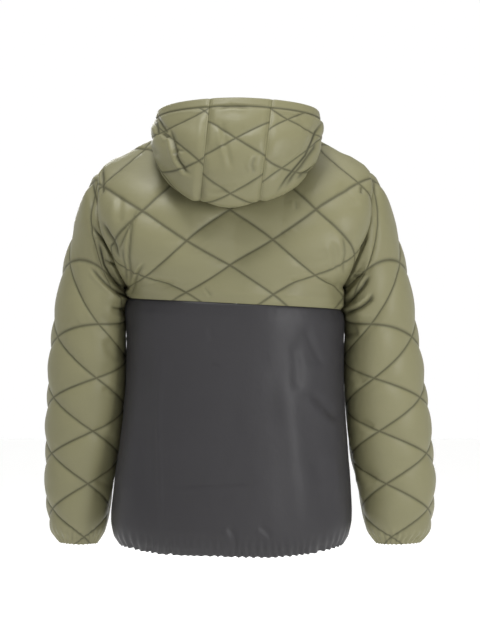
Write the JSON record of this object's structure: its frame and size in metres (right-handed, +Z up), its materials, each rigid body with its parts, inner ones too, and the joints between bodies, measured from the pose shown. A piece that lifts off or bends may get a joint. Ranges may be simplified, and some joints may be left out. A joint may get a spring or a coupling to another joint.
{
  "type": "hooded quilted jacket",
  "caption": "Hollow zipped jacket with a diamond-quilted yoke, sleeves and hood, a plain lower body and gathered cuffs and hem.",
  "frame": {"origin": "middle of the neck opening, level with the neck ends of the shoulder seams, where the wearer's neck goes", "axes": "+Z up the wearer's spine to the head, -Y the way the wearer faces, +X the wearer's left"},
  "size_m": [0.7055, 0.3786, 0.7746],
  "materials": {
    "quilted_cloth": "satin",
    "plain_cloth": "satin",
    "elastic": "matte",
    "zip": "matte",
    "zip_metal": "satin"
  },
  "bodies": {
    "jacket": {"back_yoke": "quilted_cloth", "front_yoke_left": "quilted_cloth", "front_yoke_right": "quilted_cloth", "back_lower": "plain_cloth", "front_lower_left": "plain_cloth", "front_lower_right": "plain_cloth", "sleeve_left": "quilted_cloth", "sleeve_right": "quilted_cloth", "hood_center": "quilted_cloth", "hood_side_left": "quilted_cloth", "hood_side_right": "quilted_cloth", "hem_binding": "elastic", "cuff_binding_left": "elastic", "cuff_binding_right": "elastic", "zip_tape_left": "elastic", "zip_tape_right": "elastic", "zip_chain": "zip", "zip_box": "zip", "zip_slider": "zip_metal"},
    "zip_pull_tab": {"zip_pull": "zip_metal"}
  },
  "joints": [
    {"name": "pull_hinge", "type": "hinge", "parent": "jacket", "child": "zip_pull_tab", "pos_m": [0, -0.10517, -0.01556], "axis": [-1, 0, 0], "range_deg": [0, 150]}
  ]
}
